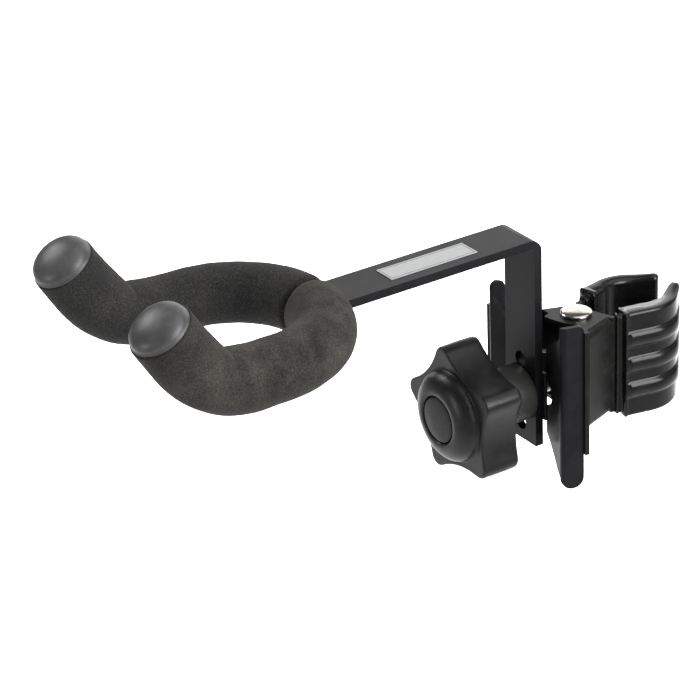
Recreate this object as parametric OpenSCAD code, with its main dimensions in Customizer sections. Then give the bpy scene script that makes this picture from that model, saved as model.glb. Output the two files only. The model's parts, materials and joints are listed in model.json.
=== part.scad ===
// Guitar hanger for an upright tube: a foam-covered yoke on a flat steel arm, held by a
// screw-closed jaw clamp.  The origin is on the tube's axis at mid-height of the jaws.
// +Z is up, the arm reaches out towards -Y, and +X is the right jaw.

/* [Jaw clamp] */
// Diameter of the tube that the closed jaws hold
tube_d = 25; // [24.5:0.1:25.5]
// Height of the outer (right) steel jaw
jaw_h = 45; // [44:1:48]
// Thickness of the pressed steel
plate_t = 2; // [1.8:0.1:2]
// Height of the rubber jaw sleeves
sleeve_h = 49; // [49:0.5:51]
// Thickness of rubber between the steel jaw and the tube
sleeve_in = 2.6; // [2.4:0.1:2.8]
// Thickness of rubber outside the steel jaw
sleeve_out = 3; // [2.8:0.1:3.2]
// Height from one sleeve rib to the next
rib_pitch = 12; // [11.5:0.25:12.5]

/* [Pivot] */
// Distance from the tube's axis to the pivot rivet's axis
pivot_back = 30.3; // [30:0.1:31]
// Diameter of the pivot rivet
rivet_d = 6; // [5.5:0.5:6]
// Diameter of the pivot rivet's head
rivet_head_d = 13.6; // [12:0.2:14]
// Radial running clearance at the pivot and at the screw
run_gap = 0.06; // [0.04:0.01:0.09]

/* [Levers] */
// Distance from the centre plane to a lever's front corner
lever_x = 26; // [25.5:0.5:26.5]
// Distance from the tube's axis forward to a lever's front corner
lever_y = 58; // [57.8:0.1:58.2]
// Angle by which the pressed levers are turned out from square
lever_angle = 16; // [15.5:0.5:16.5]
// Depth of a lever's web, front face to rear face
lever_depth = 10.1; // [9.8:0.1:10.4]
// Width of the front flange that reaches in behind the arm
flange_w = 17.5; // [16.5:0.25:17.5]
// Height of the levers' middle above mid-height of the jaws (negative is below)
lever_z = -3.8; // [-4.2:0.1:-3.4]
// Distance from the levers' middle to a lever's square end
lever_up = 37.3; // [36.5:0.1:38]
// Distance from the levers' middle to a lever's rounded tail
lever_down = 38.5; // [38:0.1:40]

/* [Clamp screw and knob] */
// Height of the screw's axis above mid-height of the jaws (negative is below)
screw_z = -5; // [-5.3:0.1:-4.6]
// Diameter of the clamp screw
screw_d = 8; // [7.8:0.1:8]
// Largest diameter of the star knob, over its lobes
knob_d = 60.4; // [59:0.2:62]
// Thickness of the knob's lobed rim
knob_t = 18.2; // [17.5:0.1:18.5]
// Diameter of the spacer collar behind the knob
collar_d = 24.5; // [23:0.5:26]

/* [Arm] */
// Width of the flat bar
bar_w = 21; // [20:0.5:21.5]
// Thickness of the flat bar
bar_t = 3.8; // [3.5:0.1:4]
// Height of the arm's top face above mid-height of the jaws
arm_top = 69; // [68:0.5:70]
// Distance from the tube's axis forward to the leg's front face
leg_front = 59.8; // [59.6:0.1:60]
// Height of the leg's lower end
leg_low = -27.2; // [-29:0.1:-26.5]
// Diameter of the two wall-screw holes in the leg
wall_hole_d = 7; // [5:0.5:7]
// Distance between the two wall-screw holes
wall_hole_gap = 30; // [29:1:31]
// Height midway between the wall-screw holes (negative is below mid-height of the jaws)
wall_hole_z = -4.5; // [-5:0.1:-4.2]

/* [Yoke] */
// Diameter of the yoke's steel rod
rod_d = 10; // [8:0.5:10]
// Outer diameter of the foam sleeves
foam_d = 26.5; // [24:0.5:28]
// Radius of the yoke's half-round bend, to the rod's centreline
yoke_r = 37; // [35:0.5:39]
// Distance from the tube's axis forward to the rod at the back of the yoke
yoke_y = 163.7; // [160:0.5:168]
// Length of the straight part of each prong
prong_l = 9; // [6:1:14]
// Angle by which the prong tips turn up
tip_angle = 59; // [50:1:62]
// Radius of the bend at the tips, to the rod's centreline
tip_r = 39; // [36:1:42]
// Length of the foam-covered tip beyond its bend
tip_l = 14.7; // [12:0.1:18]
// Height of the domed end caps
cap_dome = 8; // [6:0.5:9]
// Diameter of the domed end caps
cap_d = 25.4; // [25:0.2:27]

/* [Hidden] */
$fn = 64;

// Small allowances
skin = 0.05;        // gap between a rubber sleeve and the steel inside it
layer_gap = 0.2;    // gap between the tabs of the two jaws
lap = 0.6;          // overlap that welds the solids of one piece together
over = 1;           // how far a cutter runs past what it cuts
band = 0.04;        // height of the band between the yoke's bend and its tip

// Jaw outline in plan
steel_r = tube_d / 2 + sleeve_in + plate_t / 2;
hug_from = -20;
hug_to = 40;
grip_extra = 0.8;     // rubber that the tube's own round takes away, which widens the grip
ear_l = 8;
throat = [13.4, -14.5];
waist = [11.5, -20.4];
shoulder = [17.2, -36];
inner_jaw_h = jaw_h - 2 * (plate_t + layer_gap);
boot_t = sleeve_in + plate_t + sleeve_out + grip_extra;
boot_r = tube_d / 2 - grip_extra + boot_t / 2;
mouth = throat + [boot_r - steel_r - 0.5, -1.9];
rib_steps = [[0.7, 3.4], [1.3, 1.8]];     // rise and half-width of a rib's two steps
bead_steps = [[0.25, 2.6], [0.5, 1.5]];   // rise and half-width of a bead's two steps

// Pivot
pivot = [0, -pivot_back];
tab_r = 7.6;
tab_bend = 3;         // outer radius of the bend between web and tab
head_t = 2;
eye_d = 14;
eye_h = 10;
bush_d = 8.4;
inner_tab_z = inner_jaw_h / 2 - plate_t;

// Spring
wire_d = 1.6;
coil_d = 12.4;
coil_turns = 5;
spring_leg = 18.5;
spring_splay = 43;

// Levers, measured from the front corner: u runs outwards, v runs back
riveted_w = 10;
strip_up = 34.4;
strip_down = 22.8;
top_cut = [[0, -1], [-1.2, -2.6], [-2, -4.4], [-3.2, -6.2], [-5.5, -7.7], [-8.5, -9.4], [-11.6, -11.7],
           [-15.4, -15], [-flange_w, -16.9]];
tail_cut = [[-flange_w, 19.8], [-13.6, 16.6], [-11, 14.3], [-8.6, 11.9], [-5, 7.7], [-2.5, 5.7], [0, 4.8]];
rivet_u = -6.2;
lever_rivet_d = 3;
lever_rivet_gap = 28;

// Knob
leg_back = leg_front - bar_t;
washer_t = 1;
collar_l = 17.2;
knob_back = leg_front + collar_l + washer_t;
knob_front = knob_back + knob_t;
lobes = 5;
lobe_r = 4.5;
valley_r = 22.6;
hollow_r = 39.35;    // radius of the shallow hollow between two lobes
dome_r = 20;
face_h = 6.8;
button_r = 10;
insert_d = 12;
insert_l = 16;
screw_tip = knob_front - 0.5;
clear_d = screw_d + 0.5;

// Saddle between the leg and the levers
saddle_w = 24;
saddle_h = 22;
saddle_gap = 0.75;

// Arm and yoke
bend_in = 2;
rod_z = arm_top - 3.5;
arc_y = yoke_y + yoke_r;
prong_y = arc_y + prong_l;
bar_end = yoke_y - 2;
rod_past_foam = 4;
cap_rim = 2;
label_l = 42.5;
label_w = 11;
label_t = 0.3;
label_from = 84.8;

function polar(r, a) = [r * cos(a), r * sin(a)];
function heading(p, q) = (q - p) / norm(q - p);
function turned(d) = [-d[1], d[0]];

// Point beside pts[i], a distance w to the left of the path, mitred at corners
function beside(pts, i, w) =
    let (last = len(pts) - 1,
         a = i > 0 ? heading(pts[i - 1], pts[i]) : heading(pts[0], pts[1]),
         b = i < last ? heading(pts[i], pts[i + 1]) : a,
         n = turned(a) + turned(b))
    pts[i] + 2 * w * n / (n * n);

// Half-round end of radius r at p, for a path that leaves p in direction d
function round_end(p, d, r) = [for (a = [15:15:165]) p + r * (sin(a) * d + cos(a) * turned(d))];

// Outline of a plate of thickness t along a path, with a half-round far end
function outline(pts, t) =
    let (last = len(pts) - 1)
    concat([for (i = [0:last]) beside(pts, i, t / 2)],
           round_end(pts[last], heading(pts[last - 1], pts[last]), t / 2),
           [for (i = [last:-1:0]) beside(pts, i, -t / 2)]);

// Path of a jaw's gripping end at radius r: round the tube, then along the straight ear
function hug(r) =
    concat([for (a = [hug_from:2.5:hug_to]) polar(r, a)],
           [polar(r, hug_to) + ear_l * turned(polar(1, hug_to))]);
function at_lever(u, v) = [
    lever_x + u * cos(lever_angle) + v * sin(lever_angle),
    -lever_y - u * sin(lever_angle) + v * cos(lever_angle)
];

// ---------------------------------------------------------------- shared shapes

// Upright plate of thickness t along a path in plan
module plate(pts, t, low, high) {
    translate([0, 0, low]) linear_extrude(high - low) polygon(outline(pts, t));
}

// Frame of a lever: x outwards, y back, z up from the levers' middle
module lever_frame() {
    translate([lever_x, -lever_y, lever_z]) rotate([0, 0, -lever_angle]) children();
}

// Turns a right-hand piece over about the levers' middle to make the left-hand one
module turned_over() {
    translate([0, 0, lever_z]) rotate([0, 180, 0]) translate([0, 0, -lever_z]) children();
}

// Cylinder along -Y on the screw's axis, from distance a to distance b in front of the tube
module on_screw(d, a, b) {
    translate([0, -a, screw_z]) rotate([90, 0, 0]) cylinder(d = d, h = b - a);
}

// ---------------------------------------------------------------- pivot

module pivot_rivet() {
    stack = jaw_h / 2 + 0.1;
    tail_r = rivet_head_d / 2 - 1.6;
    color("silver")
        translate([pivot[0], pivot[1], 0]) rotate_extrude()
            polygon(concat(
                [[0, -stack - head_t], [tail_r - 1.5, -stack - head_t], [tail_r, -stack - 0.8],
                 [tail_r, -stack], [rivet_d / 2, -stack], [rivet_d / 2, stack],
                 [rivet_head_d / 2, stack], [rivet_head_d / 2, stack + 1]],
                [for (a = [15:15:90]) [(rivet_head_d / 2) * cos(a), stack + 1 + (head_t - 1) * sin(a)]]
            ));
}

module bush(low, high) {
    color("gray") translate([pivot[0], pivot[1], low]) difference() {
        cylinder(d = bush_d, h = high - low);
        translate([0, 0, -over]) cylinder(d = rivet_d + 2 * run_gap, h = high - low + 2 * over);
    }
}

module pivot_bush_upper() bush(screw_z + eye_h / 2 + 0.1, inner_tab_z - 0.15);

module pivot_bush_lower() bush(-inner_tab_z + 0.15, screw_z - eye_h / 2 - 0.1);

module eye_bolt() {
    color("silver") difference() {
        union() {
            translate([pivot[0], pivot[1], screw_z - eye_h / 2]) cylinder(d = eye_d, h = eye_h);
            on_screw(screw_d, pivot_back, screw_tip);
        }
        translate([pivot[0], pivot[1], screw_z - eye_h])
            cylinder(d = rivet_d + 2 * run_gap, h = 2 * eye_h);
    }
}

// One turn of the spring is a ring; the two legs reach forward to the webs of the jaws
module torsion_spring() {
    low = screw_z + eye_h / 2 + 1.5;
    top = low + (coil_turns - 1) * wire_d;
    color("lightgray") union() {
        for (k = [0:coil_turns - 1])
            translate([pivot[0], pivot[1], low + k * wire_d])
                rotate_extrude() translate([(coil_d - wire_d) / 2, 0]) circle(d = wire_d + 0.1, $fn = 24);
        for (s = [-1, 1])
            translate([pivot[0], pivot[1], s > 0 ? top : low]) rotate([0, 0, s * spring_splay])
                translate([s * (coil_d - wire_d) / 2, 0, 0])
                    rotate([90, 0, 0]) cylinder(d = wire_d, h = spring_leg, $fn = 24);
    }
}

// ---------------------------------------------------------------- jaws

// A pressed-steel jaw: grip, web with beads, two tabs on the rivet, and the front strip
module jaw_arm(h, tab_low, tab_high, lug, strip_w, strip_low, strip_high) {
    joint = at_lever(-riveted_w + plate_t / 2, lever_depth + plate_t / 2);
    difference() {
        union() {
            plate(concat([joint, shoulder, waist, throat], hug(steel_r)), plate_t, -h / 2, h / 2);
            translate([0, 0, -lever_z]) lever_frame()
                translate([-riveted_w, lever_depth, strip_low])
                    cube([riveted_w + strip_w, plate_t, strip_high - strip_low]);
            for (k = [-1:1]) bead(k * rib_pitch);
            for (z = [tab_low, tab_high]) translate([0, 0, z]) tab(lug && z > 0);
        }
        translate([pivot[0], pivot[1], -h])
            cylinder(d = rivet_d + 2 * run_gap, h = 2 * h);
        lever_rivet_places() cylinder(d = lever_rivet_d, h = 4 * plate_t, center = true, $fn = 32);
        for (s = [0, 1]) mirror([0, 0, s]) tab_bend_cut(h / 2);
    }
}

// Cutter that rounds the web's upper outer edge, where the tab is bent over, at height z
module tab_bend_cut(z) {
    along = heading(waist, shoulder);
    start = waist + plate_t / 2 * turned(along) + along;
    run = norm(shoulder - waist) + 3;
    translate([start[0], start[1], z]) rotate([0, 0, atan2(along[1], along[0])])
        translate([0, -tab_bend, -tab_bend]) difference() {
            cube([run, tab_bend + over, tab_bend + over]);
            translate([-over, 0, 0]) rotate([0, 90, 0]) cylinder(r = tab_bend, h = run + 2 * over);
        }
}

// Low bead pressed out along the web, fading forwards from the sleeve's mouth
module bead(z) {
    out = turned(heading(waist, shoulder));
    root = waist + (plate_t / 2 - 0.2) * out;
    for (step = bead_steps)
        translate([0, 0, z - step[1]]) linear_extrude(2 * step[1])
            polygon([root, waist + 0.7 * (shoulder - waist) + (plate_t / 2 - 0.2) * out,
                     root + (0.2 + step[0]) * out]);
}

// Horizontal tab that reaches in from the web and turns on the rivet
module tab(lug) {
    back = waist + 0.2 * (throat - waist);
    linear_extrude(plate_t) union() {
        translate(pivot) circle(r = tab_r);
        polygon([shoulder, back, pivot + [2, tab_r - 0.3], pivot + [-1, -tab_r + 0.1]]);
        if (lug) polygon([for (p = [[-7.2, -2], [-7.6, -6.5], [-7.3, -9.6], [-6.2, -12.2], [-2.2, -11.4],
                                    [3.6, -9.4], [8, -5.8]]) pivot + p]);
    }
}

// Axes of the two rivets that join a lever to its jaw
module lever_rivet_places() {
    for (s = [-0.5, 0.5])
        lever_frame() translate([rivet_u, lever_depth, s * lever_rivet_gap])
            rotate([90, 0, 0]) children();
}

module jaw_arm_right() {
    color("darkslategray")
        jaw_arm(jaw_h, -jaw_h / 2, jaw_h / 2 - plate_t, true, 1.4,
                lever_z - strip_down, lever_z + strip_up);
}

module jaw_arm_left() {
    color("darkslategray") mirror([1, 0, 0])
        jaw_arm(inner_jaw_h, -inner_jaw_h / 2, inner_jaw_h / 2 - plate_t, false, 8.2,
                lever_z - strip_up, lever_z + strip_down);
}

// Rubber boot over the gripping end, with three ribs round the outside
module jaw_sleeve(h) {
    difference() {
        union() {
            plate(concat([mouth], hug(boot_r)), boot_t, -sleeve_h / 2, sleeve_h / 2);
            for (k = [-1:1]) for (step = rib_steps) rib(k * rib_pitch, step[0], step[1]);
        }
        translate([0, 0, -sleeve_h]) cylinder(d = tube_d, h = 2 * sleeve_h, $fn = 128);
        plate(concat([waist, throat], hug(steel_r)), plate_t + 2 * skin, -h / 2 - skin, h / 2 + skin);
    }
}

// One step of the rib at height z: it stands a rise above the boot's outer face
module rib(z, rise, half_w) {
    bite = 0.3;
    shift = (rise + bite) / 2;
    plate(concat([mouth + [shift, 0.6]], hug(boot_r + shift)), boot_t + rise - bite, z - half_w, z + half_w);
}

module jaw_sleeve_right() { color("dimgray") jaw_sleeve(jaw_h); }

module jaw_sleeve_left() { color("dimgray") mirror([1, 0, 0]) jaw_sleeve(inner_jaw_h); }

// ---------------------------------------------------------------- levers

// Pressed lever: a front flange behind the arm, a web with a rounded tail, a riveted rear flange
module lever() {
    tail_r = lever_depth / 2;
    corner_r = 2.5;
    bend_r = 2.6;
    lever_frame() difference() {
        union() {
            // web, with its rear top corner and its tail rounded
            translate([-plate_t, 0, 0]) rotate([90, 0, 90]) linear_extrude(plate_t) union() {
                translate([0, -lever_down + tail_r])
                    square([lever_depth, lever_up + lever_down - tail_r - corner_r]);
                translate([0, lever_up - corner_r - over]) square([lever_depth - corner_r, corner_r + over]);
                translate([lever_depth - corner_r, lever_up - corner_r]) circle(r = corner_r);
                translate([tail_r, -lever_down + tail_r]) circle(r = tail_r);
            }
            // front flange, sloped at both ends
            translate([0, plate_t, 0]) rotate([90, 0, 0]) linear_extrude(plate_t)
                polygon(concat([for (p = top_cut) p + [0, lever_up]], [for (p = tail_cut) p - [0, lever_down]]));
            // rear flange on the jaw's strip
            translate([-riveted_w, lever_depth - plate_t, -lever_rivet_gap / 2 - 6])
                cube([riveted_w - lap, plate_t, lever_rivet_gap + 12]);
        }
        // round the bend between flange and web
        difference() {
            translate([-bend_r, -over, -lever_down - over])
                cube([bend_r + over, bend_r + over, lever_up + lever_down + 2 * over]);
            translate([-bend_r, bend_r, -lever_down - 2 * over])
                cylinder(r = bend_r, h = lever_up + lever_down + 4 * over);
        }
        // notch that lets the screw pass
        translate([-flange_w, -over, 0]) rotate([-90, 0, 0])
            cylinder(r = screw_d / 2 + 2, h = plate_t + 2 * over);
        for (s = [-0.5, 0.5])
            translate([rivet_u, lever_depth, s * lever_rivet_gap]) rotate([90, 0, 0])
                cylinder(d = lever_rivet_d, h = 4 * plate_t, center = true, $fn = 32);
    }
}

module lever_right() { color([0.16, 0.16, 0.17]) lever(); }

module lever_left() { color([0.16, 0.16, 0.17]) turned_over() lever(); }

// The two rivets of one lever, with a low round head at each end
module lever_rivets() {
    head_r = 2.4;
    head_h = 1.1;
    lever_rivet_places() union() {
        cylinder(d = lever_rivet_d, h = 2 * plate_t, center = true, $fn = 32);
        for (s = [-1, 1])
            translate([0, 0, s * (plate_t + head_h / 2)])
                cylinder(r1 = s > 0 ? head_r : head_r - 0.7, r2 = s > 0 ? head_r - 0.7 : head_r,
                         h = head_h, center = true, $fn = 32);
    }
}

module lever_rivets_right() { color("silver") lever_rivets(); }

module lever_rivets_left() { color("silver") turned_over() lever_rivets(); }

// ---------------------------------------------------------------- clamp screw and knob

// Saddle whose sloped back presses the two levers apart
module wedge_saddle() {
    slope = tan(lever_angle);
    edge = lever_y - (lever_x - saddle_w / 2) * slope + saddle_gap;
    inner = lever_x - flange_w * cos(lever_angle);
    ridge = edge - (saddle_w / 2 - inner) * slope;
    color([0.2, 0.2, 0.2]) difference() {
        translate([0, 0, wall_hole_z - saddle_h / 2]) linear_extrude(saddle_h)
            polygon([[-saddle_w / 2, -leg_back], [saddle_w / 2, -leg_back], [saddle_w / 2, -edge],
                     [inner, -ridge], [-inner, -ridge], [-saddle_w / 2, -edge]]);
        on_screw(clear_d, leg_back - 10, leg_back + 10);
    }
}

module knob_collar() {
    color([0.13, 0.13, 0.11]) difference() {
        on_screw(collar_d, leg_front, leg_front + collar_l);
        on_screw(clear_d, leg_front - over, leg_front + collar_l + over);
    }
}

module thrust_washer() {
    color("silver") difference() {
        on_screw(collar_d - 5, leg_front + collar_l, knob_back);
        on_screw(clear_d, leg_front, knob_back + over);
    }
}

// Outline of the knob: blunt lobes with shallow hollows between them
module star() {
    step = 360 / lobes;
    reach = knob_d / 2 - lobe_r;
    union() {
        difference() {
            polygon([for (k = [0:2 * lobes - 1])
                polar(k % 2 == 0 ? knob_d / 2 - 1.7 : knob_d / 2 + 4, k * step / 2)]);
            for (k = [0:lobes - 1])
                rotate((k + 0.5) * step) translate([valley_r + hollow_r, 0]) circle(r = hollow_r, $fn = 128);
        }
        for (k = [0:lobes - 1]) rotate(k * step) translate([reach, 0]) circle(r = lobe_r);
    }
}

module knob_body() {
    lean = 30.5;
    color([0.09, 0.09, 0.09]) translate([0, -knob_back, screw_z]) rotate([90, 0, 0]) difference() {
        union() {
            rotate(lean) linear_extrude(knob_t) star();
            // low dome on the face
            rotate_extrude() polygon(concat(
                [[0, 1], [dome_r, 1]],
                [for (a = [0:15:75]) [button_r + 1 + (dome_r - button_r - 1) * cos(a),
                                      knob_t + face_h * sin(a)]],
                [[0, knob_t + face_h * sin(75)]]));
        }
        translate([0, 0, -over]) cylinder(d = insert_d, h = insert_l + over);
        cylinder(d = clear_d, h = knob_t + 3);
        // ring groove and seat of the button
        translate([0, 0, knob_t + 2]) cylinder(r = button_r + 0.5, h = face_h);
    }
}

module knob_insert() {
    color("gold") difference() {
        on_screw(insert_d, knob_back, knob_back + insert_l);
        on_screw(screw_d + 2 * run_gap, knob_back - over, knob_back + insert_l + over);
    }
}

module knob_cap() {
    rise = face_h - 2;
    color([0.12, 0.12, 0.12]) translate([0, -knob_front - 2, screw_z]) rotate([90, 0, 0])
        rotate_extrude() polygon(concat(
            [[0, 0], [button_r, 0], [button_r, rise - 0.6]],
            [for (a = [15:15:90]) [button_r * cos(a), rise - 0.6 + 1.2 * sin(a)]]));
}

// ---------------------------------------------------------------- arm

module arm_bar() {
    bend_out = bend_in + bar_t;
    color([0.12, 0.12, 0.13]) difference() {
        union() {
            // leg
            translate([-bar_w / 2, -leg_front, leg_low])
                cube([bar_w, bar_t, arm_top - bend_out - leg_low]);
            // bend
            translate([0, -leg_front - bend_in, arm_top - bend_out])
                rotate([90, 0, 90]) translate([0, 0, -bar_w / 2])
                    rotate_extrude(angle = 90) translate([bend_in, 0]) square([bar_t, bar_w]);
            // arm
            translate([-bar_w / 2, -bar_end, arm_top - bar_t])
                cube([bar_w, bar_end - leg_front - bend_in, bar_t]);
        }
        on_screw(clear_d, leg_back - over, leg_front + over);
        for (s = [-0.5, 0.5]) translate([0, -leg_back + over, wall_hole_z + s * wall_hole_gap])
            rotate([90, 0, 0]) cylinder(d = wall_hole_d, h = bar_t + 2 * over);
        // rod's seat in the end of the bar
        yoke_arc(rod_d, 180);
    }
}

// Blank adhesive label on top of the arm
module blank_label() {
    color("white") translate([-label_w / 2, -label_from - label_l, arm_top])
        cube([label_w, label_l, label_t]);
}

// Round run of the yoke at diameter d, from 0 degrees at the right prong to angle a
module yoke_arc(d, a) {
    translate([0, -arc_y, rod_z]) rotate_extrude(angle = a, $fn = 128)
        translate([yoke_r, 0]) circle(d = d);
}

// Right prong of the yoke at diameter d: a straight, the bend and the tip
module yoke_prong(d, tip) {
    translate([yoke_r, -arc_y, rod_z]) rotate([90, 0, 0]) cylinder(d = d, h = prong_l);
    translate([yoke_r, -prong_y, rod_z + tip_r]) rotate([180, 90, 0])
        rotate_extrude(angle = tip_angle, $fn = 128) translate([tip_r, 0]) circle(d = d);
    tip_frame() cylinder(d = d, h = tip);
    // hair-thin band that makes the bend and the tip one solid
    tip_frame() cylinder(d = d + 2 * band, h = 6 * band, center = true);
}

// Frame at the end of the tip's bend, z along the tip
module tip_frame() {
    translate([yoke_r, -prong_y - tip_r * sin(tip_angle), rod_z + tip_r * (1 - cos(tip_angle))])
        rotate([90 - tip_angle, 0, 0]) children();
}

module yoke_rod() {
    color([0.15, 0.15, 0.16]) {
        yoke_arc(rod_d, 180);
        for (s = [0, 1]) mirror([s, 0, 0]) yoke_prong(rod_d, tip_l + rod_past_foam);
    }
}

// Fillet welds above and below the bar where it meets the rod
module yoke_weld() {
    heel = -bar_end + rod_d / 2;
    under = arm_top - bar_t;
    color("gray") difference() {
        translate([-bar_w / 2 + 1, 0, 0]) rotate([90, 0, 90]) linear_extrude(bar_w - 2) {
            polygon([[heel, arm_top], [-yoke_y, arm_top], [-yoke_y, arm_top + 1.2]]);
            polygon([[heel, under], [-yoke_y, under], [-yoke_y, under - 3.6]]);
        }
        yoke_arc(rod_d, 180);
    }
}

// Soft foam tube on one prong, slit round the end of the arm
module foam_sleeve() {
    slit = 0.3;
    difference() {
        union() {
            yoke_arc(foam_d, 89.7);
            yoke_prong(foam_d, tip_l);
        }
        yoke_arc(rod_d + 2 * band, 90);
        yoke_prong(rod_d + 2 * band, tip_l + over);
        translate([-bar_w / 2 - slit, -yoke_y, arm_top - bar_t - 4])
            cube([bar_w + 2 * slit, foam_d, bar_t + 6]);
    }
}

module foam_sleeve_right() { color([0.22, 0.22, 0.22]) foam_sleeve(); }

module foam_sleeve_left() { color([0.22, 0.22, 0.22]) mirror([1, 0, 0]) foam_sleeve(); }

// Domed rubber cap pushed on to the rod beyond the foam
module end_cap() {
    r = cap_d / 2;
    tip_frame() translate([0, 0, tip_l]) difference() {
        rotate_extrude() polygon(concat(
            [[0, 0], [r, 0], [r, cap_rim]],
            [for (a = [10:10:90]) [r * cos(a), cap_rim + (cap_dome - cap_rim) * sin(a)]]));
        translate([0, 0, -over]) cylinder(d = rod_d, h = rod_past_foam + over);
    }
}

module end_cap_right() { color([0.25, 0.25, 0.26]) end_cap(); }

module end_cap_left() { color([0.25, 0.25, 0.26]) mirror([1, 0, 0]) end_cap(); }

pivot_rivet();
pivot_bush_upper();
pivot_bush_lower();
eye_bolt();
torsion_spring();
jaw_arm_right();
jaw_arm_left();
jaw_sleeve_right();
jaw_sleeve_left();
lever_right();
lever_left();
lever_rivets_right();
lever_rivets_left();
wedge_saddle();
knob_collar();
thrust_washer();
knob_body();
knob_insert();
knob_cap();
arm_bar();
blank_label();
yoke_rod();
yoke_weld();
foam_sleeve_right();
foam_sleeve_left();
end_cap_right();
end_cap_left();
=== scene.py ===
import json
import math

import bmesh
import bpy
import numpy as np
from mathutils import Matrix, Vector


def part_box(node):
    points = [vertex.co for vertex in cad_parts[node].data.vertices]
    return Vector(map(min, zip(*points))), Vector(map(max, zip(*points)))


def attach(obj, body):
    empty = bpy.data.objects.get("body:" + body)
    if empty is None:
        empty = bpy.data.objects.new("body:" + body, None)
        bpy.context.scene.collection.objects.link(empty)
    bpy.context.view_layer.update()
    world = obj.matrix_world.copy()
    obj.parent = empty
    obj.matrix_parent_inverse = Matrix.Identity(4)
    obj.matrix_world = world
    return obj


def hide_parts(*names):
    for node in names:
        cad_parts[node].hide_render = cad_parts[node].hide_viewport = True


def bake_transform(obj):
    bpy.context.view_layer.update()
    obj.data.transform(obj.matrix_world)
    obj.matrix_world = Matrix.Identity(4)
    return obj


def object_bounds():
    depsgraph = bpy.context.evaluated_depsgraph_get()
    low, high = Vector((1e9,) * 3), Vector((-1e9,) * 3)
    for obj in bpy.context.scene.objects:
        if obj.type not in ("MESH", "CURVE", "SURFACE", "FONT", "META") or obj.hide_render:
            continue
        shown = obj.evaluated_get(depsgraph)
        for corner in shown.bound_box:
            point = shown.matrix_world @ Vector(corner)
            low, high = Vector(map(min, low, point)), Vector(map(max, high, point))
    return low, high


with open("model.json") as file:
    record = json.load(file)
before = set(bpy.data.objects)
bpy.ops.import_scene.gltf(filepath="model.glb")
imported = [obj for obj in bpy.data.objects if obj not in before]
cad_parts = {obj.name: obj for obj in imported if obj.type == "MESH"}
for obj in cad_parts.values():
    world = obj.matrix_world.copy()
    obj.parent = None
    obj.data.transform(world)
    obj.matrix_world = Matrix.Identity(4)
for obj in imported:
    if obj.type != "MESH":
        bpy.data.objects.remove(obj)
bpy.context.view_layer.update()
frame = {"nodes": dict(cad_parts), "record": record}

# ------------------------------------------------------------------ sizes, in millimetres

MM = 0.001
SCREW_Z = -5.0                  # height of the clamp screw's axis
PIVOT = (0.0, -30.3)            # pivot rivet's axis in plan
YOKE_R, YOKE_Y, ROD_Z = 37.0, 163.7, 65.5           # bend of the rod behind the neck, its rear and height
PRONG = 9.0                     # straight length on each side of the neck
TIP_R, TIP_A, TIP_L = 39.0, math.radians(59), 14.7  # upward bend before the tip, and the straight tip
ARC_L, BEND_L = YOKE_R * math.pi / 2, TIP_R * TIP_A
ARC_Y = YOKE_Y + YOKE_R
PRONG_Y = ARC_Y + PRONG
YOKE_L = ARC_L + PRONG + BEND_L + TIP_L


def face_outwards(mesh):
    bm = bmesh.new()
    bm.from_mesh(mesh)
    bmesh.ops.recalc_face_normals(bm, faces=bm.faces)
    bm.to_mesh(mesh)
    bm.free()


def new_piece(name, verts, faces, body, node, look):
    """A mesh piece from millimetre vertices that rides on a body and stands for a CAD node."""
    mesh = bpy.data.meshes.new(name)
    mesh.from_pydata([tuple(c * MM for c in v) for v in verts], [], faces)
    mesh.update()
    mesh.validate()
    obj = bpy.data.objects.new(name, mesh)
    bpy.context.scene.collection.objects.link(obj)
    mesh.polygons.foreach_set("use_smooth", [True] * len(mesh.polygons))
    mesh.materials.append(look)
    face_outwards(mesh)
    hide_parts(node)
    if body:
        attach(obj, body)
    return obj


def rings_mesh(rings, closed_u=False):
    """Vertices and faces of a skin over rings of equal length; a one-point end becomes a pole."""
    n = max(len(r) for r in rings)
    verts, starts = [], []
    for r in rings:
        starts.append(len(verts))
        verts += [tuple(p) for p in r]
    faces = []
    pairs = list(zip(range(len(rings) - 1), range(1, len(rings))))
    if closed_u:
        pairs.append((len(rings) - 1, 0))
    for a, b in pairs:
        ia, ib = starts[a], starts[b]
        for k in range(n):
            j = (k + 1) % n
            if len(rings[a]) == 1:
                faces.append((ia, ib + k, ib + j))
            elif len(rings[b]) == 1:
                faces.append((ia + k, ib, ia + j))
            else:
                faces.append((ia + k, ib + k, ib + j, ia + j))
    return verts, faces


# ------------------------------------------------------------------ materials

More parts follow.
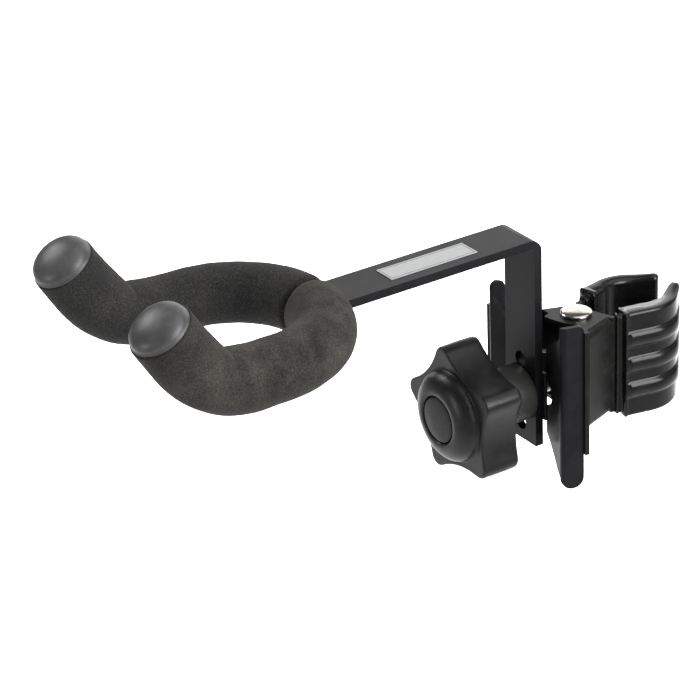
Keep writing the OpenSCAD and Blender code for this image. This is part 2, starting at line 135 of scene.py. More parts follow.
class Look:
    """A node-based material: a Principled shader fed by textures in the object's own coordinates."""

    def __init__(self, name, roughness=0.5, metallic=0.0, **sockets):
        self.mat = bpy.data.materials.new(name)
        self.mat.use_nodes = True
        self.tree = self.mat.node_tree
        self.shader = self.tree.nodes["Principled BSDF"]
        self.shader.inputs["Roughness"].default_value = roughness
        self.shader.inputs["Metallic"].default_value = metallic
        for key, value in sockets.items():
            self.shader.inputs[key.replace("_", " ")].default_value = value
        self.place = self.tree.nodes.new("ShaderNodeTexCoord").outputs["Object"]

    def node(self, kind, **settings):
        made = self.tree.nodes.new(kind)
        for key, value in settings.items():
            setattr(made, key, value)
        return made

    def put(self, source, target):
        if isinstance(source, bpy.types.NodeSocket):
            self.tree.links.new(source, target)
        else:
            target.default_value = source

    def noise(self, size_mm, detail=3.0, rough=0.55, stretch=None):
        """Noise with features of about size_mm."""
        made = self.node("ShaderNodeTexNoise")
        made.inputs["Scale"].default_value = 1.0 / (size_mm * MM)
        made.inputs["Detail"].default_value = detail
        made.inputs["Roughness"].default_value = rough
        place = self.place
        if stretch:
            scaled = self.node("ShaderNodeMapping")
            scaled.inputs["Scale"].default_value = stretch
            self.put(place, scaled.inputs["Vector"])
            place = scaled.outputs["Vector"]
        self.put(place, made.inputs["Vector"])
        return made.outputs["Fac"]

    def cells(self, size_mm):
        """Distance to the nearest of points about size_mm apart."""
        made = self.node("ShaderNodeTexVoronoi")
        made.inputs["Scale"].default_value = 1.0 / (size_mm * MM)
        self.put(self.place, made.inputs["Vector"])
        return made.outputs["Distance"]

    def axes(self):
        """The object's own x, y and z, in metres."""
        made = self.node("ShaderNodeSeparateXYZ")
        self.put(self.place, made.inputs[0])
        return made.outputs

    def span(self, value, low, high, to_low, to_high):
        """Maps value from low..high to to_low..to_high, clamped."""
        made = self.node("ShaderNodeMapRange", clamp=True)
        self.put(value, made.inputs["Value"])
        for key, number in (("From Min", low), ("From Max", high), ("To Min", to_low), ("To Max", to_high)):
            made.inputs[key].default_value = number
        return made.outputs["Result"]

    def calc(self, operation, a, b=0.0):
        made = self.node("ShaderNodeMath", operation=operation)
        self.put(a, made.inputs[0])
        self.put(b, made.inputs[1])
        return made.outputs[0]

    def blend(self, fac, a, b):
        """Colour that goes from a to b as fac goes from 0 to 1."""
        made = self.node("ShaderNodeMix", data_type="RGBA")
        self.put(fac, made.inputs["Factor"])
        self.put(a if isinstance(a, bpy.types.NodeSocket) else (*a, 1), made.inputs[6])
        self.put(b if isinstance(b, bpy.types.NodeSocket) else (*b, 1), made.inputs[7])
        return made.outputs[2]

    def height(self, value, depth_mm, strength=1.0, under=None):
        """Normal of a relief depth_mm deep, on top of the relief under."""
        made = self.node("ShaderNodeBump")
        made.inputs["Strength"].default_value = strength
        made.inputs["Distance"].default_value = depth_mm * MM
        self.put(value, made.inputs["Height"])
        if under is not None:
            self.put(under, made.inputs["Normal"])
        return made.outputs["Normal"]

    def set(self, color, roughness, normal):
        self.put(color, self.shader.inputs["Base Color"])
        self.put(roughness, self.shader.inputs["Roughness"])
        self.put(normal, self.shader.inputs["Normal"])
        return self.mat


def powder_coat(name="powder_coat", tone=(0.0085, 0.0078, 0.0097), worn=(0.018, 0.0172, 0.0185)):
    """Satin black powder coat: fine orange peel, dust in patches and rubbed places."""
    look = Look(name, Specular_IOR_Level=0.15)
    peel = look.noise(0.7, 2)
    patches = look.noise(14, 4, 0.6)
    scuffs = look.noise(2.2, 6, 0.75, stretch=(1, 1, 0.25))
    rubbed = look.span(look.calc("MULTIPLY", scuffs, patches), 0.34, 0.46, 0, 1)
    color = look.blend(look.span(patches, 0.4, 0.7, 0, 0.5), tone, worn)
    color = look.blend(look.calc("MULTIPLY", rubbed, 0.35), color, worn)
    rough = look.calc("ADD", look.span(patches, 0.3, 0.7, 0.30, 0.42), look.calc("MULTIPLY", rubbed, 0.12))
    fine = look.height(peel, 0.012)
    return look.set(color, rough, look.height(scuffs, 0.006, under=fine))


def jaw_finish():
    """Dark oiled finish of the pressed jaws, duller than the powder coat."""
    look = Look("jaw_finish", Specular_IOR_Level=0.17)
    grain = look.noise(0.5, 3)
    patches = look.noise(9, 5, 0.65)
    draw = look.noise(1.6, 5, 0.7, stretch=(1, 1, 0.2))
    tone, worn = (0.0072, 0.0077, 0.0070), (0.0145, 0.0152, 0.0138)
    color = look.blend(look.span(patches, 0.35, 0.7, 0, 1), tone, worn)
    color = look.blend(look.span(draw, 0.58, 0.72, 0, 0.4), color, (0.035, 0.036, 0.033))
    rough = look.span(look.calc("ADD", patches, draw), 0.8, 1.3, 0.32, 0.46)
    return look.set(color, rough, look.height(draw, 0.01, under=look.height(grain, 0.012)))


def bare_metal(name, tone, dark, roughness):
    """Plated or bare metal with fine scratches and a little staining."""
    look = Look(name, metallic=1.0)
    scratches = look.noise(1.2, 7, 0.8)
    stain = look.noise(3.5, 4, 0.6)
    color = look.blend(look.span(stain, 0.45, 0.75, 0, 0.8), tone, dark)
    rough = look.span(look.calc("ADD", scratches, stain), 0.7, 1.3, roughness * 0.7, roughness * 1.5)
    return look.set(color, rough, look.height(scratches, 0.006))


def nylon(name, tone, low, high, pits=0.0):
    """Moulded black nylon: satin, with flow patches, fine scuffs and a pitted texture where asked."""
    look = Look(name, Specular_IOR_Level=0.30)
    flow = look.noise(11, 4, 0.6)
    fine = look.noise(0.35, 4, 0.6)
    scuffs = look.noise(1.5, 7, 0.8)
    light = tuple(2.0 * c + 0.003 for c in tone)
    color = look.blend(look.span(flow, 0.4, 0.75, 0, 0.8), tone, light)
    color = look.blend(look.span(scuffs, 0.62, 0.75, 0, 0.35), color, (0.045, 0.044, 0.043))
    rough = look.calc("ADD", look.span(flow, 0.3, 0.7, low, high), look.span(scuffs, 0.5, 0.75, 0, 0.14))
    normal = look.height(fine, 0.010 + pits)
    return look.set(color, rough, look.height(scuffs, 0.010, under=normal))


def rubber(name, tone, low, high, spots, gloss, relief):
    """Moulded dark rubber: broad sheen changes, chalky bloom and small marks."""
    look = Look(name, Specular_IOR_Level=gloss)
    bloom = look.noise(7, 5, 0.6)
    marks = look.noise(1.1, 6, 0.75)
    skin = look.noise(0.28, 3, 0.5)
    color = look.blend(look.span(bloom, 0.35, 0.75, 0, 0.75), tone, tuple(1.9 * c for c in tone))
    color = look.blend(look.span(marks, 0.60, 0.74, 0, 0.45), color, spots)
    rough = look.calc("ADD", look.span(bloom, 0.3, 0.7, low, high), look.span(marks, 0.5, 0.8, 0, 0.10))
    normal = look.height(skin, relief)
    return look.set(color, rough, look.height(marks, relief, under=normal))


def foam_look(name, tone, dust):
    """Closed-cell foam: fine cells, dark grain, pale specks and dusty, browner patches; painted shade keeps
    the underside darker.
    """
    look = Look(name, roughness=0.95, Specular_IOR_Level=0.2, Sheen_Weight=0.08, Sheen_Roughness=0.5)
    look.shader.inputs["Sheen Tint"].default_value = (0.75, 0.72, 0.68, 1)
    cells = look.cells(0.75)
    grit = look.noise(0.9, 4, 0.85)
    wide = look.noise(15, 5, 0.6)
    specks = look.noise(0.42, 1, 0.5)
    # dust patches on the sides, faded out below the rod as painted shade on the underside, and thinned out up
    # at the tips
    height = look.axes()[2]
    low, high = look.span(height, 0.056, 0.068, 0.2, 1), look.span(height, 0.080, 0.094, 1, 0.45)
    dust_and_shade = look.calc("MULTIPLY", look.span(wide, 0.36, 0.64, 0, 1), look.calc("MULTIPLY", low, high))
    color = look.blend(dust_and_shade, tone, dust)
    dark = look.span(cells, 0.05, 0.55, 1, 0)
    color = look.blend(look.calc("MULTIPLY", dark, 0.45), color, (0.004, 0.004, 0.004))
    color = look.blend(look.span(grit, 0.40, 0.58, 0.62, 0), color, (0.005, 0.005, 0.005))
    color = look.blend(look.span(specks, 0.56, 0.74, 0, 0.4), color, (0.13, 0.125, 0.115))
    rough = look.span(grit, 0.3, 0.7, 0.85, 1.0)
    normal = look.height(cells, 0.16, 0.75)
    normal = look.height(grit, 0.10, 0.7, under=normal)
    return look.set(color, rough, look.height(wide, 0.8, 0.6, under=normal))


def label_look():
    """Blank white satin film with a thin grey frame printed inside its edge."""
    look = Look("label_film", Specular_IOR_Level=0.5)
    lo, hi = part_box("blank_label")
    parts = look.axes()
    inside = None
    for axis in (0, 1):
        middle, half = (lo[axis] + hi[axis]) / 2, (hi[axis] - lo[axis]) / 2
        off = look.calc("ABSOLUTE", look.calc("SUBTRACT", parts[axis], middle))
        gap = look.calc("SUBTRACT", half, off)
        inside = gap if inside is None else look.calc("MINIMUM", inside, gap)
    line = look.calc("MULTIPLY", look.span(inside, 0.0007, 0.0008, 0, 1),
                     look.span(inside, 0.0011, 0.0012, 1, 0))
    grime = look.noise(3, 5, 0.7)
    color = look.blend(look.span(grime, 0.4, 0.8, 0, 0.5), (0.42, 0.425, 0.43), (0.33, 0.33, 0.33))
    color = look.blend(look.calc("MULTIPLY", line, 0.9), color, (0.06, 0.06, 0.065))
    return look.set(color, look.span(grime, 0.3, 0.7, 0.3, 0.5), look.height(grime, 0.01))


looks = {
    "powder_coat": powder_coat(),
    "weld_paint": powder_coat("weld_paint"),
    "jaw_paint": jaw_finish(),
    "bright_nickel": bare_metal("bright_nickel", (0.56, 0.53, 0.49), (0.34, 0.31, 0.27), 0.13),
    "zinc_steel": bare_metal("zinc_steel", (0.55, 0.55, 0.54), (0.35, 0.33, 0.30), 0.32),
    "spring_steel": bare_metal("spring_steel", (0.38, 0.37, 0.36), (0.18, 0.16, 0.14), 0.3),
    "rod_steel": bare_metal("rod_steel", (0.30, 0.30, 0.30), (0.14, 0.13, 0.12), 0.4),
    "collar_metal": powder_coat("collar_metal", (0.028, 0.0277, 0.027), (0.042, 0.0415, 0.040)),
    "insert_brass": bare_metal("insert_brass", (0.72, 0.52, 0.24), (0.42, 0.30, 0.15), 0.3),
    "bush_nylon": nylon("bush_nylon", (0.30, 0.29, 0.25), 0.45, 0.6),
    "knob_nylon": nylon("knob_nylon", (0.0068, 0.0067, 0.0072), 0.27, 0.40),
    "button_nylon": nylon("button_nylon", (0.010, 0.010, 0.0105), 0.40, 0.58, 0.035),
    "boot_rubber": rubber("boot_rubber", (0.0052, 0.0052, 0.0050), 0.18, 0.26, (0.018, 0.018, 0.017), 0.34,
                          0.004),
    "cap_rubber": rubber("cap_rubber", (0.054, 0.0545, 0.056), 0.34, 0.44, (0.10, 0.10, 0.10), 0.45, 0.012),
    "foam_right": foam_look("foam_right", (0.0195, 0.0186, 0.0175), (0.066, 0.060, 0.052)),
    "foam_left": foam_look("foam_left", (0.021, 0.0205, 0.0207), (0.037, 0.0355, 0.0345)),
    "label_film": label_look(),
}
slot_of = {p["node"]: p["material_slot"] for p in frame["record"]["subparts"]}

# ------------------------------------------------------------------ CAD nodes that stay

REPLACED = {"foam_sleeve_right", "foam_sleeve_left", "end_cap_right", "end_cap_left", "knob_body",
            "knob_cap", "jaw_sleeve_right", "jaw_sleeve_left", "torsion_spring", "eye_bolt"}
# width of the bevel on each node's edges
ROUNDED = {"arm_bar": 0.55, "lever_right": 0.55, "lever_left": 0.55, "jaw_arm_right": 0.28,
           "jaw_arm_left": 0.28, "knob_collar": 0.5, "pivot_rivet": 0.18, "wedge_saddle": 0.4,
           "thrust_washer": 0.2, "yoke_weld": 0.3}

for name, obj in frame["nodes"].items():
    if name in REPLACED:
        continue
    obj.data.materials.clear()
    obj.data.materials.append(looks[slot_of[name]])
    if name in ROUNDED:
        weld = obj.modifiers.new("weld", "WELD")
        weld.merge_threshold = 1e-6
        bevel = obj.modifiers.new("edges", "BEVEL")
        bevel.width = ROUNDED[name] * MM
        bevel.segments = 3
        bevel.limit_method = "ANGLE"
        bevel.angle_limit = math.radians(32)
        bevel.use_clamp_overlap = True
        bevel.harden_normals = True

# ------------------------------------------------------------------ yoke

def yoke_point(s):
    """The right rod at length s from the rear: point, direction, up, outwards, upward bend so far."""
    if s <= ARC_L:
        t = math.pi / 2 - s / YOKE_R
        return (Vector((YOKE_R * math.cos(t), -ARC_Y + YOKE_R * math.sin(t), ROD_Z)),
                Vector((math.sin(t), -math.cos(t), 0)), Vector((0, 0, 1)),
                Vector((math.cos(t), math.sin(t), 0)), 0.0)
    s -= ARC_L
    if s <= PRONG:
        return (Vector((YOKE_R, -ARC_Y - s, ROD_Z)), Vector((0, -1, 0)), Vector((0, 0, 1)),
                Vector((1, 0, 0)), 0.0)
    s -= PRONG
    a = min(s / TIP_R, TIP_A)
    past = max(0.0, s - BEND_L)
    way = Vector((0, -math.cos(a), math.sin(a)))
    up = Vector((0, math.sin(a), math.cos(a)))
    at = Vector((YOKE_R, -PRONG_Y - TIP_R * math.sin(a), ROD_Z + TIP_R * (1 - math.cos(a)))) + way * past
    return at, way, up, Vector((1, 0, 0)), (a if past == 0 else TIP_A)


TAPER_FROM, TAPER_L = ARC_L + PRONG - 8, 30.0           # change from the body's radius to the tip's
CAP_DROP = 1.1                  # how far the tip's foam and cap sit below the rod's centre
BEND_MID = ARC_L + PRONG + BEND_L / 2                   # middle of the upward bend, along the rod


def foam_ring(s, start, rounding, sides, body_r, tip_r):
    """Ring of the foam's surface at length s: bunched up inside the bend, rounded at its rear end."""
    at, way, up, out, a = yoke_point(s)
    t = min(1.0, max(0.0, (s - TAPER_FROM) / TAPER_L))
    thin = t * t * (3 - 2 * t)
    r = body_r + (tip_r - body_r) * thin + 0.1 * math.sin(s / 9.0)
    at = at - up * (CAP_DROP * thin)
    bunch = 2.2 * math.exp(-((s - BEND_MID) / 14) ** 2) + 0.7 * math.exp(-((s - BEND_MID - 18) / 9) ** 2)
    # inside the bend the foam meets in a crease instead of following the rod's curve
    inner = TIP_R - r
    sharp = math.cos(min(a, TIP_A - a)) if 0 < a < TIP_A else 1.0
    fold = TIP_R - inner / sharp - r
    e = max(s - start, 1e-4)
    shrink = 1.0
    if e < rounding:
        shrink = (1 - (1 - e / rounding) ** 2.3) ** (1 / 2.3)
    wide = r * (1 + 0.05 * abs(fold) / 4)
    ring = []
    for i in range(sides):
        t = 2 * math.pi * i / sides
        c, d = math.cos(t), math.sin(t)
        high = r + (fold + bunch if c > 0 else 0.0)
        squeeze = 1 - 0.035 * max(0, -d) * (s < YOKE_R * 1.4)
        ring.append(at + (up * (c * high) + out * (d * wide * squeeze)) * shrink)
    return ring


def tag_of(side):
    return "right" if side > 0 else "left"


def foam_sleeve(side, start, rounding, body_r, tip_r, look):
    """Foam tube on one prong, from its rounded rear end to its turned-in end under the cap."""
    sides, n = 72, 210
    rings = [[yoke_point(start)[0]]]
    for i in range(1, n + 1):
        s = start + (YOKE_L - start) * (i / n) ** 1.12
        rings.append(foam_ring(s, start, rounding, sides, body_r, tip_r))
    last, (at, way, up, _, _) = rings[-1], yoke_point(YOKE_L)
    middle = at - up * CAP_DROP
    for inset, forward in ((0.2, 0.4), (0.6, 0.65), (1.2, 0.6), (3.0, 0.2)):
        rings.append([p + (middle - p).normalized() * inset + way * forward for p in last])
    rings.append([middle])
    verts, faces = rings_mesh(rings)
    # slow, shallow unevenness of a pushed-on foam tube
    bumps = []
    for v in verts:
        v = Vector(v)
        wave = 0.22 * math.sin(v.y * 0.21 + v.z * 0.13 + side) + 0.16 * math.sin(v.y * 0.47 - v.x * 0.31)
        bumps.append(Vector((side * v.x, v.y, v.z + wave * 0.35)))
    tag = tag_of(side)
    piece = new_piece("foam_tube_" + tag, bumps, faces, "arm", "foam_sleeve_" + tag, look)


def lathe(profile, sides, place, closed_u=False):
    """Skin of a turned shape; profile is (radius, distance along), place maps (x, y, z) to millimetres."""
    turns = [2 * math.pi * i / sides for i in range(sides)]
    rings = [[place(0, 0, h)] if r == 0 else [place(r * math.cos(t), r * math.sin(t), h) for t in turns]
             for r, h in profile]
    return rings_mesh(rings, closed_u)


def end_cap(side):
    """Domed cap on a prong's tip."""
    at, way, up, out, _ = yoke_point(YOKE_L)
    at = at - up * CAP_DROP
    profile = [(0, 0.3), (6, 0.3), (12.2, 0.3), (12.55, 0.5), (12.68, 0.85), (12.62, 1.2), (12.45, 1.45),
               (12.32, 1.6), (12.26, 1.9)]
    profile += [(12.22 * math.cos(t), 2.0 + 5.9 * math.sin(t)) for t in np.radians(np.arange(4, 90, 5.5))]
    profile.append((0, 7.9))

    def place(x, y, z):
        p = at + up * x + out * y + way * z
        return Vector((side * p.x, p.y, p.z))

    verts, faces = lathe(profile, 72, place)
    tag = tag_of(side)
    new_piece("domed_cap_" + tag, verts, faces, "arm", "end_cap_" + tag, looks["cap_rubber"])


foam_sleeve(1, -3.4, 8.5, 13.2, 13.3, looks["foam_right"])
foam_sleeve(-1, 0.4, 5.0, 12.5, 13.0, looks["foam_left"])
end_cap(1)
end_cap(-1)

# ------------------------------------------------------------------ knob

LOBES, LEAN = 5, math.radians(30.5)                 # the first lobe points LEAN above +X
LOBE_AT, LOBE_R = 25.7, 4.5                         # centre and radius of a lobe's round end
HOLLOW_AT, HOLLOW_R = 61.95, 39.35                  # centre and radius of the arc between two lobes
LOBE_TO_HOLLOW = math.atan2(3.74, 28.2)             # where the two meet, seen from the axis
KNOB_BACK, KNOB_T = 78.0, 18.2


def star_radius(t):
    """Distance from the axis to the knob's edge in direction t: blunt lobes, shallow hollows between."""
    step = 2 * math.pi / LOBES
    off = (t - LEAN + step / 2) % step - step / 2
    if abs(off) < LOBE_TO_HOLLOW:
        return LOBE_AT * math.cos(off) + math.sqrt(LOBE_R ** 2 - (LOBE_AT * math.sin(off)) ** 2)
    away = step / 2 - abs(off)
    return HOLLOW_AT * math.cos(away) - math.sqrt(HOLLOW_R ** 2 - (HOLLOW_AT * math.sin(away)) ** 2)


def knob():
    """Star knob with a domed face, and the round button set into it."""
    sides = 300
    turns = [2 * math.pi * i / sides for i in range(sides)]
    edge = np.array([star_radius(t) for t in turns])
    weights = np.exp(-np.linspace(-2, 2, 9) ** 2)
    edge = sum(w * np.roll(edge, i - 4) for i, w in enumerate(weights)) / weights.sum()
    front = 0.75                # radius of the front edge's rounding

    def ring(radii, h):
        return [Vector((r * math.cos(t), -(KNOB_BACK + h), SCREW_Z + r * math.sin(t)))
                for r, t in zip(radii, turns)]

    def level(r, h):
        return ring(np.full(sides, r), h)

    rings = [level(4.3, 2.0), level(4.3, 0.0), level(13.0, 0.0), level(13.6, 0.5), level(17.5, 0.5)]
    rings += [ring(edge - 1.5, 0.15), ring(edge - 0.5, 0.45), ring(edge - 0.1, 1.2), ring(edge, 2.2)]
    rings += [ring(edge + 0.15 * math.sin(math.pi * k / 6), 2.2 + k * 2.5) for k in range(1, 6)]
    for a in np.radians([0, 22, 45, 68, 88]):
        rings.append(ring(edge - front * (1 - math.cos(a)), KNOB_T - front + front * math.sin(a)))
    for k in (0.2, 0.5, 0.8, 1.0):
        rings.append(ring((edge - front) * (1 - k) + 20.35 * k, KNOB_T - 0.12 * k))
    rings += [level(20.15, KNOB_T + 0.05), level(20.0, KNOB_T + 0.5), level(19.75, KNOB_T + 1.1)]
    for a in np.radians(np.arange(14, 84, 7)):
        rings.append(level(10.9 + 9.0 * math.cos(a), KNOB_T + 6.75 * math.sin(a)))
    rings += [level(11.0, KNOB_T + 6.72), level(10.75, KNOB_T + 6.55), level(10.5, KNOB_T + 6.0),
              level(10.45, KNOB_T + 2.5), level(4.0, KNOB_T + 2.5)]
    verts, faces = rings_mesh(rings)
    new_piece("star_knob", verts, faces, "knob", "knob_body", looks["knob_nylon"])
    button = [(0, 2.6), (9.95, 2.6), (10.0, 5.8), (9.92, 6.25), (9.65, 6.55), (9.1, 6.72), (7.8, 6.9),
              (5.5, 7.1), (2.8, 7.25), (0, 7.3)]
    verts, faces = lathe(button, 96, lambda x, y, h: Vector((x, -(KNOB_BACK + KNOB_T + h), SCREW_Z + y)))
    new_piece("knob_button", verts, faces, "knob", "knob_cap", looks["button_nylon"])


knob()

# ------------------------------------------------------------------ rubber boots on the jaws

TUBE_R, STEEL_R = 12.5, 16.1    # the tube, and the middle line of the boot's curve round it
HUG = (-20.0, 40.0)             # the curve's ends, in degrees from +X
THROAT = Vector((12.9, -16.4))  # where the boot's body starts on the web
WEB = Vector((0.307, 0.952))    # the web's direction in plan
EAR_L, SHADOW_COLLAR_L = 8.6, 2.4      # straight ear past the curve, thin dark collar before the body that stands in for the shadow on the steel
RIBS, RIB_HALF, RIB_RISE = (-11.8, 0.2, 12.2), 3.6, 1.7         # the ribs' heights, half width and rise
EDGE_R = 1.3                    # rounding of the upper and lower edges


def boot_path(late):
    """The boot's middle line in plan: along the collar (dark rubber standing in for shadow on the steel), the
    step, the body, the curve and the ear.
    """
    def on_curve(angle):
        return Vector((math.cos(math.radians(angle)), math.sin(math.radians(angle)))) * STEEL_R

    start = THROAT + WEB * late
    run = on_curve(HUG[0]) - start
    path = [start - WEB * back for back in (2.4, 2.3, 2.1, 1.7, 1.1, 0.5, 0.12)]
    path += [start + run.normalized() * ahead for ahead in (0.0, 0.1, 0.25, 0.5, 0.8, 1.2, 1.7, 2.3)]
    path += [start + run * (i / 16) for i in range(4, 16)]
    path += [on_curve(a) for a in np.arange(HUG[0], HUG[1] + 0.1, 2.5)]
    tip, a = path[-1], math.radians(HUG[1])
    return path + [tip + Vector((-math.sin(a), math.cos(a))) * (EAR_L * i / 10) for i in range(1, 11)]


def boot_section(path, lengths, i, side, steel_h, half_h):
    """Closed outline at the path's point i: the outer face from top to bottom, then the inner face up."""
    p = path[i]
    way = (path[min(i + 1, len(path) - 1)] - path[max(i - 1, 0)]).normalized()
    outwards = Vector((way.y, -way.x))
    k, body = lengths[i] / lengths[-1], lengths[i] - SHADOW_COLLAR_L
    # the collar: the boot's dark rubber laid thin over the steel, standing in for the shadow on it
    if body < -0.01:
        bead = 0.35 * math.exp(-((body + 2.0) / 0.55) ** 2)
        outer = inner = 1.95 + bead
        hh, lip = steel_h / 2 + 0.75 + bead, 0.0
    else:
        step = math.sqrt(1 - (1 - min(1.0, body / 0.5)) ** 2)
        full = 4.0 - 1.4 * max(0, (k - 0.35) / 0.65) ** 1.2
        outer = 2.6 + (full - 2.6) * step
        inner = 4.4 - 2.0 * max(0, (k - 0.5) / 0.5)
        hh = half_h - 0.8 * (1 - step)
        lip = 0.45 * math.exp(-((body - 0.75) / 0.8) ** 2)
    fade = min(1.0, max(0.0, body - 0.6) / 1.9) * (1 - 0.8 * max(0, (k - 0.70) / 0.30))
    rise = 1.1 * max(0, (k - 0.72) / 0.28) ** 1.5
    zs = np.linspace(-hh + EDGE_R, hh - EDGE_R, 116)
    edge = [(outer + lip - EDGE_R * (1 - math.cos(t)), hh - EDGE_R + (EDGE_R + lip * 0.5) * math.sin(t))
            for t in np.radians([22, 45, 68, 90])]
    pts = []
    for z in zs[::-1]:
        rib = sum(math.sqrt(max(0.0, 1 - ((z - c) / RIB_HALF) ** 2)) for c in RIBS)
        pts.append((outer + lip + RIB_RISE * fade * rib, z))
    pts += [(off, -z) for off, z in edge] + [(-inner + 1.2, -hh - lip * 0.5)]
    pts += [(-inner, z) for z in zs] + [(-inner + 1.2, hh + lip * 0.5)] + edge[::-1]
    ring = []
    for off, z in pts:
        v = p + outwards * off
        if off < 0 and v.length < TUBE_R + 0.02:
            v = v.normalized() * (TUBE_R + 0.02)
        ring.append(Vector((side * v.x, v.y, z * (1 + rise / hh))))
    return ring


def shrunk(ring, toward, k, kz, along):
    """Ring drawn in towards an upright line, k sideways and kz in height, and moved along."""
    drawn = []
    for v in ring:
        mid = toward + (Vector((v.x, v.y, 0)) - toward) * k
        drawn.append(Vector((mid.x, mid.y, v.z * kz)) + along)
    return drawn


def boot(side, steel_h, half_h, late):
    """Boot swept in plan from its mouth round the tube to the ear, with three half-round ribs outside."""
    path = boot_path(late)
    lengths = [0.0]
    for p, q in zip(path, path[1:]):
        lengths.append(lengths[-1] + (q - p).length)
    rings = [boot_section(path, lengths, i, side, steel_h, half_h) for i in range(len(path))]

    def in_plan(v):
        return Vector((side * v.x, v.y, 0))

    # mouth: a rim turned in round the steel, open and dark inside
    way, middle = in_plan((path[1] - path[0]).normalized()), in_plan(path[0])
    steel, top = steel_h / 2, rings[0][0].z + EDGE_R
    mouth = [shrunk(rings[0], middle, k, kz, way * ahead) for k, kz, ahead in (
        (0.56, (steel + 0.12) / top, 2.0), (0.57, (steel + 0.15) / top, 0.4),
        (0.60, (steel + 0.25) / top, -0.05), (0.72, (steel + 0.5) / top, -0.3),
        (0.88, 0.992, -0.28), (0.97, 0.998, -0.12))]
    # closed round end at the ear
    way, middle = in_plan((path[-1] - path[-2]).normalized()), in_plan(path[-1])
    end = [shrunk(rings[-1], middle, max(math.cos(t), 0.02), 1 - 0.03 * (1 - math.cos(t)),
                  way * 2.0 * math.sin(t)) for t in np.radians([25, 50, 72, 88])]
    verts, faces = rings_mesh(mouth + rings + end)
    faces.append(tuple(range(len(verts) - len(rings[-1]), len(verts))))
    tag = tag_of(side)
    new_piece("ribbed_boot_" + tag, verts, faces, "jaw_" + tag, "jaw_sleeve_" + tag,
              looks["boot_rubber"])


boot(1, 45.0, 24.5, 0.0)
boot(-1, 40.6, 23.4, 2.0)

# ------------------------------------------------------------------ clamp screw and spring

SHANK_FROM, THREAD_FROM, PITCH = 36.0, 44, 1.25         # distances in front of the tube's axis, and M8's pitch


def round_pivot(x, y, z):
    return Vector((PIVOT[0] + x, PIVOT[1] + y, z))


def eye_bolt():
    """Threaded shank, and its ring round the pivot rivet."""
    lo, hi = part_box("eye_bolt")
    tip, sides = -lo.y / MM, 40
    rings = [[Vector((0, -SHANK_FROM, SCREW_Z))]]
    for y in np.arange(SHANK_FROM, tip - 0.2, PITCH / 8):
        fade = max(0.0, min(1.0, (y - THREAD_FROM) / 2, tip - y + 0.3))
        ring = []
        for i in range(sides):
            t = 2 * math.pi * i / sides
            turn = (y / PITCH + i / sides) % 1.0
            r = 4.0 - 0.68 * (1 - abs(2 * turn - 1)) * fade - 0.5 * max(0.0, y - tip + 1)
            ring.append(Vector((r * math.cos(t), -y, SCREW_Z + r * math.sin(t))))
        rings.append(ring)
    rings.append([Vector((0, -tip, SCREW_Z))])
    verts, faces = rings_mesh(rings)
    new_piece("threaded_shank", verts, faces, "carrier", "eye_bolt", looks["zinc_steel"])
    zl, zh = lo.z / MM, hi.z / MM
    profile = [(3.2, zl + 0.3), (3.5, zl), (6.3, zl), (6.85, zl + 0.5), (7.0, zl + 1.2), (7.0, zh - 1.2),
               (6.85, zh - 0.5), (6.3, zh), (3.5, zh), (3.2, zh - 0.3), (3.08, zh - 0.8), (3.08, zl + 0.8)]
    verts, faces = lathe(profile, 64, round_pivot, closed_u=True)
    new_piece("bolt_eye", verts, faces, "carrier", "eye_bolt", looks["zinc_steel"])


def wire(points):
    """Skin of a 1.6 mm wire along points, with closed ends."""
    turns = np.linspace(0, 2 * math.pi, 12, endpoint=False)
    rings = [[points[0]]]
    for i, p in enumerate(points):
        way = (points[min(i + 1, len(points) - 1)] - points[max(i - 1, 0)]).normalized()
        a = Vector((0, 0, 1)).cross(way).normalized()
        b = way.cross(a)
        rings.append([p + (a * math.cos(t) + b * math.sin(t)) * 0.8 for t in turns])
    rings.append([points[-1]])
    return rings_mesh(rings)


def spring():
    """Coil round the pivot, and a straight leg towards each jaw."""
    lo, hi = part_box("torsion_spring")
    low, top = lo.z / MM + 0.85, hi.z / MM - 0.85
    r, turns, splay, leg = 5.4, 4.76, math.radians(43), 18.5
    n = int(turns * 40)
    coil = []
    for i in range(n + 1):
        t = math.pi - splay + 2 * math.pi * turns * (i / n)
        coil.append(round_pivot(r * math.cos(t), r * math.sin(t), low + (top - low) * (i / n)))
    verts, faces = wire(coil)
    look = looks["spring_steel"]
    new_piece("spring_coil", verts, faces, "carrier", "torsion_spring", look)
    for side, z in ((1, top), (-1, low)):
        a = splay if side > 0 else math.pi - splay
        start = round_pivot(r * math.cos(a), r * math.sin(a), z)
        way = Vector((side * math.sin(splay), -math.cos(splay), 0))
        points = [start + way * (leg * i / 12) for i in range(13)]
        verts, faces = wire(points)
        tag = tag_of(side)
        piece = new_piece("spring_leg_" + tag, verts, faces, None, "torsion_spring", look)
        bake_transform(piece)


eye_bolt()
spring()

# ------------------------------------------------------------------ floor, light and camera

scene = bpy.context.scene
scene.view_settings.view_transform = "Standard"

world = bpy.data.worlds.new("studio")
scene.world = world
world.use_nodes = True
world.node_tree.nodes["Background"].inputs["Color"].default_value = (1, 1, 1, 1)
world.node_tree.nodes["Background"].inputs["Strength"].default_value = 0.15

floor_mesh = bpy.data.meshes.new("floor")
floor_mesh.from_pydata([(-6, -6, 0), (6, -6, 0), (6, 6, 0), (-6, 6, 0)], [], [(0, 1, 2, 3)])
floor = bpy.data.objects.new("floor", floor_mesh)
floor.location.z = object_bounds()[0].z - 0.55
scene.collection.objects.link(floor)
floor_look = bpy.data.materials.new("floor")
floor_look.use_nodes = True
floor_shader = floor_look.node_tree.nodes["Principled BSDF"]
floor_shader.inputs["Base Color"].default_value = (0.92, 0.92, 0.92, 1)
floor_shader.inputs["Roughness"].default_value = 0.9
floor_mesh.materials.append(floor_look)


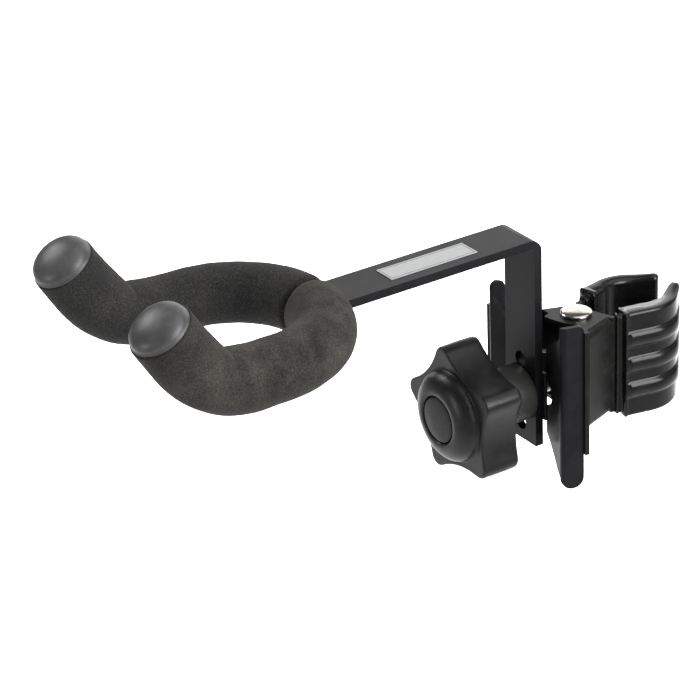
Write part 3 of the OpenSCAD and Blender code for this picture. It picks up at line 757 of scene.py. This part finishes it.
def soft_light(name, at, aim, size, power):
    data = bpy.data.lights.new(name, "AREA")
    data.shape = "RECTANGLE"
    data.size, data.size_y = size
    data.energy = power
    obj = bpy.data.objects.new(name, data)
    obj.location = at
    obj.rotation_euler = (Vector(aim) - Vector(at)).to_track_quat("-Z", "Y").to_euler()
    scene.collection.objects.link(obj)


middle = Vector((0, -0.12, 0.04))
soft_light("backdrop", (-1.5, 1.7, 0.75), middle, (2.6, 1.5), 22)
soft_light("floor_wash", (-1.33, 0.73, 0.07), (-1.33, 0.73, -1.0), (1.8, 1.8), 36)
soft_light("key", (1.10, 0.28, 0.86), (0, -0.10, 0.84), (0.8, 1.5), 32)
soft_light("left", (-1.3, -0.6, 1.1), (0, -0.20, 1.0), (0.7, 0.7), 12)
soft_light("front", (-0.22, -1.5, 0.16), (0, -0.12, 0.16), (0.4, 0.5), 4)
overhead = bpy.data.lights.new("overhead", "SUN")
overhead.energy = 0.95
overhead.angle = math.radians(55)
overhead_obj = bpy.data.objects.new("overhead", overhead)
overhead_obj.rotation_euler = Vector((0.12, 0.34, 0.93)).to_track_quat("Z", "Y").to_euler()
scene.collection.objects.link(overhead_obj)

azimuth, elevation, roll = math.radians(57.22), math.radians(26.86), math.radians(-2.198)
aim = Vector((0, -0.1448, 0.04084))
ahead = Vector((-math.sin(azimuth) * math.cos(elevation), math.cos(azimuth) * math.cos(elevation),
                -math.sin(elevation)))
right = Vector((math.cos(azimuth), math.sin(azimuth), 0))
up = right.cross(ahead)
x_axis = right * math.cos(roll) + up * math.sin(roll)
y_axis = -right * math.sin(roll) + up * math.cos(roll)
camera_data = bpy.data.cameras.new("camera")
camera_data.lens = 164.57
camera_data.sensor_width = 36
camera_data.clip_start = 0.01
camera_data.clip_end = 50
camera = bpy.data.objects.new("camera", camera_data)
scene.collection.objects.link(camera)
turn = Matrix((x_axis, y_axis, -ahead)).transposed()
camera.matrix_world = Matrix.Translation(aim - ahead * 1.2909) @ turn.to_4x4()
scene.camera = camera
